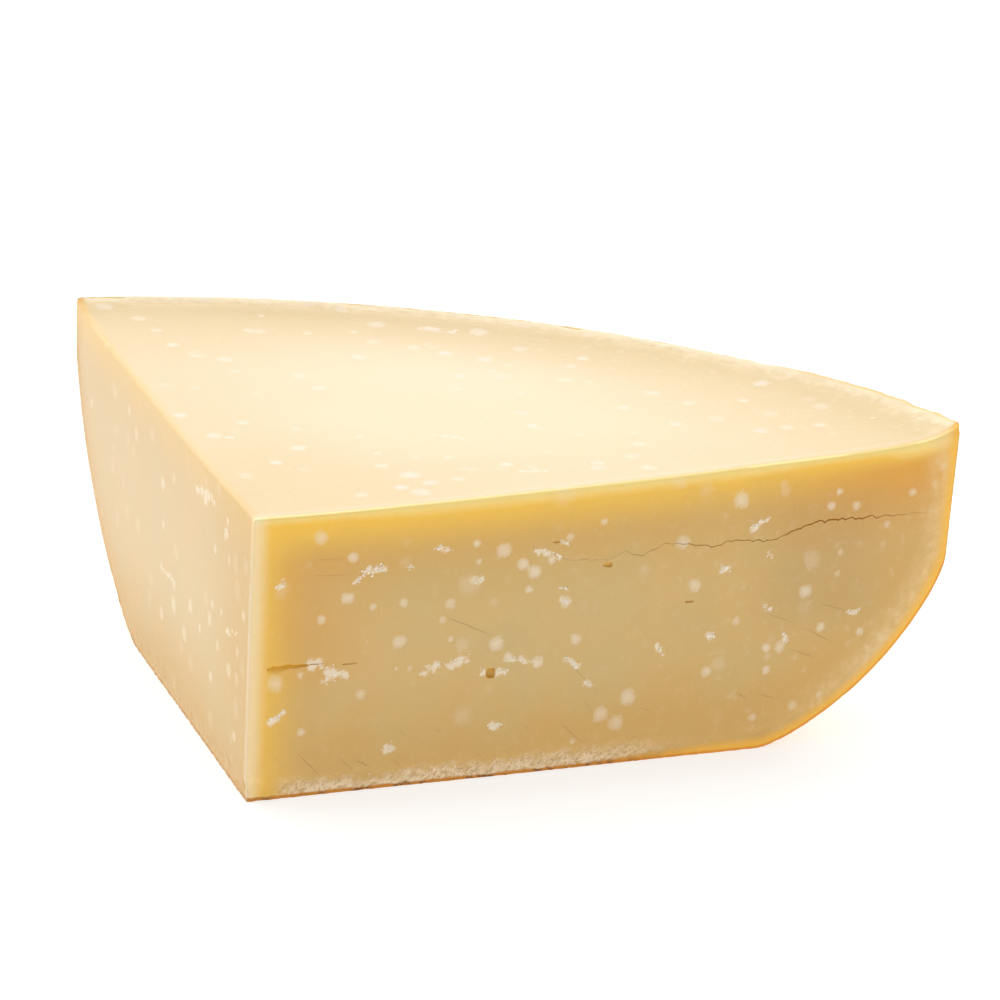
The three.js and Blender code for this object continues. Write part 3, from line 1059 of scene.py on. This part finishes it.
def worn_and_highlit_edges(at, colour):
    """Cream along the top of the front cut, partly worn paste and partly a painted highlight; a pale margin
    on the top behind it, a painted highlight; and a pale corner, partly worn and partly a painted highlight.
    """
    tree = at.tree
    reach = WORN_AND_HIGHLIT_REACH + at.where(across=(12, 42, 108, 138)) * WORN_AND_HIGHLIT_MIDDLE_MORE
    reach = reach + at.where(across=(148, 158)) * WORN_AND_HIGHLIT_END_MORE
    # Cream along the top of the front cut: partly worn paste, partly a painted highlight.
    worn = (at.below_top + at.uneven * WORN_AND_HIGHLIT_RAGGED).fall(0, reach) * at.where(back=(1.6, 0.5))
    colour = tree.paint(colour, EDGE_CREAM, worn, strength=0.95)
    # A painted highlight: a pale margin on the top just behind the front cut.
    margin = at.where(back=(0.4, 1.2, 1.5, 5), below_top=(1, 0.4))
    colour = tree.paint(colour, EDGE_PALE, margin, strength=0.15)
    # A pale strip along the corner: partly worn paste, partly a painted highlight.
    start, end = CORNER_WORN_AND_HIGHLIT
    corner = (at.from_corner + at.uneven * CORNER_RAGGED).fall(start, end + at.on_front * CORNER_WORN_AND_HIGHLIT_FRONT)
    return tree.paint(colour, EDGE_PALE, corner * at.on_cut, strength=0.5)


def rind_side(at, colour):
    """A pale haze and a warm strip on the front beside the rind, and a pale rim to the top."""
    tree = at.tree
    haze = at.where(depth=(11, 2), height=(0, 25)) * (0.5 + at.coarse * 1.8)
    colour = tree.mix(haze.least(HAZE_MOST) * at.on_front, colour, RIND_HAZE)
    warm = at.where(depth=(6, 1.5), height=(20, 40)) * at.on_front
    colour = tree.paint(colour, RIND_YELLOW, warm, strength=0.35)
    colour = tree.mix(at.where(radius=(161, 169)) * at.on_top * at.fleck, colour, RIM_PALE)
    rim_edge = (at.radius + at.uneven * RIM_RAGGED).rise(*RIM_EDGE) * at.on_top
    colour = tree.paint(colour, EDGE_PALE, rim_edge, strength=0.4)
    rim_line = at.where(radius=(168.8, 169.5), across=(146, 166)) * at.on_top
    return tree.paint(colour, RIND_YELLOW, rim_line, strength=0.6)


def crystal_share(at):
    """Where the paste is crystal, from 0 to 1: round spots, chance specks and crumbly lumps."""
    spots = at.tree.value("crystal") + at.coarse * 1.2 + at.fine * 0.6
    spots = spots.fall(*SPOT_CORE) * 0.45 + spots.fall(*SPOT_EDGE) * 0.55
    spots = spots * (0.4 + at.cloud.rise(*SPOT_CLOUDS) * 0.3 + at.on_top * 0.2)
    cells = at.tree.cells(at.place, SPECK_SPACING)
    size = Term(at.tree, cells.node, "Color").part(0) ** 3 * SPECK_LARGEST
    specks = (cells * SPECK_SPACING / size + at.coarse * 1.5).fall(*SPECK_EDGE) * (0.2 + at.on_top * 0.3)
    crumbly = (at.tree.value("lumps") + at.coarse * 1.5 + at.fine * 1.5).fall(*CRUMBLY_EDGE) * 0.8
    return spots.most(specks).most(crumbly)


def knife_hairs(at, colour):
    """Hair-fine slanting lines that the knife left low on the front cut."""
    hair = at.tree.noise(at.tree.stretched(at.slanting, HAIR_STRETCH), HAIR_SPACING, detail=0)
    hair = (hair - 0.5).math("ABSOLUTE").fall(*HAIR_WIDTH) * at.cloud.rise(*HAIR_CLOUDS)
    return at.tree.paint(colour, SHADE_AND_MARK_BROWN, hair * at.where(height=(18, 8)) * at.on_front, strength=0.2)


def crumbled_share(at):
    """Where the paste is torn and crumbled along the foot, from 0 to 1."""
    ragged = at.depth + at.uneven * CRUMBLED_RAGGED + (at.cloud - 0.5) * CRUMBLED_WANDER
    crumbled = ragged.fall(*CRUMBLED_DEPTH) * (0.4 + at.on_front * 0.6)
    return crumbled * at.where(height=(12, 5), from_corner=(5, 12), across=(115, 75))


def crumbled_colour_and_shade(at):
    """Pale crumbs, lighter and darker by a grain noise, partly their own mottle and partly painted light and
    shade of the lumps, with painted shade in the dark splits between them.
    """
    # Painted shade in the dark splits between the crumbs.
    split = (at.grains - SPLIT_LEVEL).math("ABSOLUTE").fall(*SPLIT_WIDTH) * at.on_front
    # Lighter and darker crumbs: partly their own mottle, partly painted light and shade of the lumps.
    crumbs = at.tree.mix(at.grains.rise(*CRUMBLED_SHADES), TORN_MIDDLE, TORN_PALE)
    return at.tree.paint(crumbs, SHADE_AND_MARK_BROWN, split, strength=0.7)


def rind_edge(at, colour):
    """The cut edge of the rind: thin and amber along the foot, wider and golden up the side."""
    tree = at.tree
    golden = at.where(across=(75, 115)).most(at.where(height=(3, 14))) * at.on_front
    start, end = (thin + golden * more for thin, more in zip(RIND_EDGE_DEPTH, RIND_EDGE_GOLDEN))
    edge = (at.depth + at.uneven * RIND_EDGE_RAGGED).fall(start, end)
    edge = edge * (1 - at.on_top) * (at.on_front * 0.5 + 0.5)
    amber = tree.mix(at.fleck.rise(*FOOT_SHADES), FOOT_AMBER, FOOT_BROWN)
    gold = tree.mix(at.where(depth=(0.9, 0.3)), RIND_YELLOW, RIND_LINE)
    return tree.mix(edge, colour, tree.mix(golden, amber, gold))


def glow_in_cuts(at, colour):
    """Amber inside the crack, the eyes and the slit: a painted glow of light scattered in the paste, which
    also lightens the shade in them.
    """
    # Painted glow inside the cuts, bright enough to lift their shade.
    inside = at.where(back=(0.2, 0.45), below_top=(4, 6), across=(3, 4), height=(8, 12)) * at.on_front
    return at.tree.paint(colour, CUT_GLOW_AMBER, inside, strength=0.8)


def dirt_speck(at, colour):
    """A dark speck on the foot of the front cut, longer than it is high."""
    narrow = at.tree.stretched(at.place, DIRT_NARROWING)
    away = at.tree.vector("DISTANCE", narrow, DIRT_PLACE_NARROWED, output=1)
    return at.tree.paint(colour, DIRT_BROWN, away.fall(*DIRT_REACH), strength=0.8)


def paste_material():
    """Aged paste: tan, mottled, with crystals, yellow below its pale edges, crumbly by the rind; the yellow
    is partly a painted glow, the pale edges partly worn and partly a painted highlight, and its faces and
    cuts carry painted shade, sheen and glow.
    """
    material, tree, shader, place = new_material("paste", {
        "Subsurface Weight": 0.15,
        "Subsurface Radius": (1.0, 0.7, 0.4),
        "Subsurface Scale": CHEESE_GLOW_DEPTH,
        "IOR": CHEESE_IOR,
    })
    at = PasteTerms(tree, place)
    crystals = crystal_share(at)
    crumbled = crumbled_share(at)
    colour = paste_body(at)
    for finish in (warm_glowing_edges, worn_and_highlit_edges, rind_side):
        colour = finish(at, colour)
    colour = tree.mix(crystals, colour, tree.mix(at.on_top, CRYSTAL_WHITE, TOP_CRYSTAL_WHITE))
    colour = knife_hairs(at, colour)
    colour = tree.paint(colour, crumbled_colour_and_shade(at), crumbled, strength=0.9)
    for finish in (rind_edge, glow_in_cuts, dirt_speck):
        colour = finish(at, colour)
    tree.feed(shader["Base Color"], colour)
    tree.feed(shader["Roughness"], 0.36 + crystals * 0.25 + crumbled * 0.35)
    tree.feed(shader["Normal"], tree.bump(at.grains, PASTE_BUMP, strength=0.5))
    return material


def rind_material():
    """Waxy amber rind with mottles, pores and a dry bloom."""
    material, tree, shader, place = new_material("rind", {
        "Subsurface Weight": 0.3,
        "Subsurface Radius": (1.0, 0.6, 0.2),
        "Subsurface Scale": CHEESE_GLOW_DEPTH,
        "IOR": CHEESE_IOR,
    })
    cloud = tree.noise(place, RIND_CLOUD_SIZE, detail=4, roughness=0.6)
    fleck = tree.noise(place, RIND_FLECK_SIZE, detail=3, roughness=0.6)
    pores = tree.cells(place, PORE_SPACING).fall(*PORE_EDGE)
    below_top = top_height(tree.from_axis(place)) - place.part(2)
    colour = tree.mix(cloud.rise(*RIND_CLOUDS), RIND_GOLD, RIND_BROWN)
    colour = tree.paint(colour, RIND_HAZE, fleck.rise(*RIND_FLECKS), strength=0.35)
    colour = tree.paint(colour, FOOT_AMBER, pores, strength=0.5)
    colour = tree.mix(below_top.fall(*BLOOM_UNDER_TOP) * (0.4 + fleck * 0.8), colour, RIM_PALE)
    tree.feed(shader["Base Color"], colour)
    tree.feed(shader["Roughness"], 0.32 + fleck * 0.25 + pores * 0.2)
    bumps = fleck * 0.5 - pores * 0.5 + tree.noise(place, RIND_GRAIN_SIZE) * 0.2
    tree.feed(shader["Normal"], tree.bump(bumps, RIND_BUMP, strength=0.5))
    return material


def grain_material(name, pale, deep):
    """Loose grains: crystals or crumbs, paler and deeper by place."""
    material, tree, shader, place = new_material(name, {"IOR": CHEESE_IOR})
    mottle = tree.noise(place, size=1.2 * MM)
    tree.feed(shader["Base Color"], tree.mix(mottle.rise(low=0.35, high=0.65), pale, deep))
    tree.feed(shader["Roughness"], 0.5 + tree.noise(place, size=0.5 * MM) * 0.3)
    return material


def floor_material():
    """White paper that glows a little, so that its far end is as white as the light behind it."""
    material, tree, shader, place = new_material("floor", {
        "Specular IOR Level": 0.1,
        "Emission Color": LIGHT_WHITE,
        "Emission Strength": FLOOR_GLOW,
    })
    tree.feed(shader["Base Color"], tree.mix(tree.noise(place, size=0.8), FLOOR_WHITE, FLOOR_GREY))
    tree.feed(shader["Roughness"], 0.8 + tree.noise(place, size=0.3) * 0.1)
    return material


# Studio


def make_floor():
    form = bmesh.new()
    bmesh.ops.create_grid(form, x_segments=1, y_segments=1, size=FLOOR_REACH)
    mesh = bpy.data.meshes.new("floor")
    form.to_mesh(mesh)
    form.free()
    mesh.materials.append(floor_material())
    add_object("floor", mesh)


def make_light():
    """Soft light that is brightest behind and fills the front a little, and a broad lamp overhead."""
    world = bpy.data.worlds.new("studio")
    world.use_nodes = True
    bpy.context.scene.world = world
    tree = Tree(world.node_tree)
    direction = tree.add("ShaderNodeTexCoord", output="Generated")
    facing = tree.vector("DOT_PRODUCT", direction, BRIGHT_SIDE, output=1)
    from_front = tree.vector("DOT_PRODUCT", direction, FRONT_SIDE, output=1)
    light = SKY_DIM + facing.rise(*BRIGHT_SPREAD) * (SKY_BRIGHT - SKY_DIM)
    light = light + from_front.rise(*FRONT_SPREAD) * SKY_FRONT
    sky = tree.add("ShaderNodeBackground", inputs={"Color": LIGHT_WHITE, "Strength": light})
    tree.add("ShaderNodeOutputWorld", inputs={"Surface": sky})
    lamp_data = bpy.data.lights.new("lamp", "SUN")
    lamp_data.energy = LAMP_STRENGTH
    lamp_data.angle = LAMP_SOFTNESS
    lamp = add_object("lamp", lamp_data)
    lamp.rotation_euler = LAMP_FROM.to_track_quat("Z", "Y").to_euler()


def make_camera():
    """The camera, a little above the chunk and to its left, with a slight roll."""
    data = bpy.data.cameras.new("camera")
    data.lens = CAMERA_LENS
    data.sensor_width = CAMERA_SENSOR
    data.clip_start = CAMERA_CLIP
    forward = CAMERA_FORWARD.normalized()
    right = forward.cross(Vector((0, 0, 1))).normalized()
    up = right.cross(forward)
    rolled_right = right * math.cos(CAMERA_ROLL) + up * math.sin(CAMERA_ROLL)
    rolled_up = up * math.cos(CAMERA_ROLL) - right * math.sin(CAMERA_ROLL)
    camera = add_object("camera", data)
    turn = Matrix((rolled_right, rolled_up, -forward)).transposed()
    camera.matrix_world = Matrix.Translation(CORNER + CAMERA_FROM_CORNER) @ turn.to_4x4()
    bpy.context.scene.camera = camera


make_camera()
make_light()
make_floor()
bpy.context.scene.view_settings.view_transform = "Standard"

chunk = make_chunk(paste_material(), rind_material())
crystal_grains = make_crystal_grains(chunk, grain_material("crystal", GRAIN_WHITE, CRYSTAL_WHITE))
crumbs = make_crumbs(chunk, grain_material("crumb", TORN_PALE, PASTE_PALE))
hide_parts("gouda_chunk")
for piece in (chunk, crystal_grains, crumbs):
    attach(piece, "root")
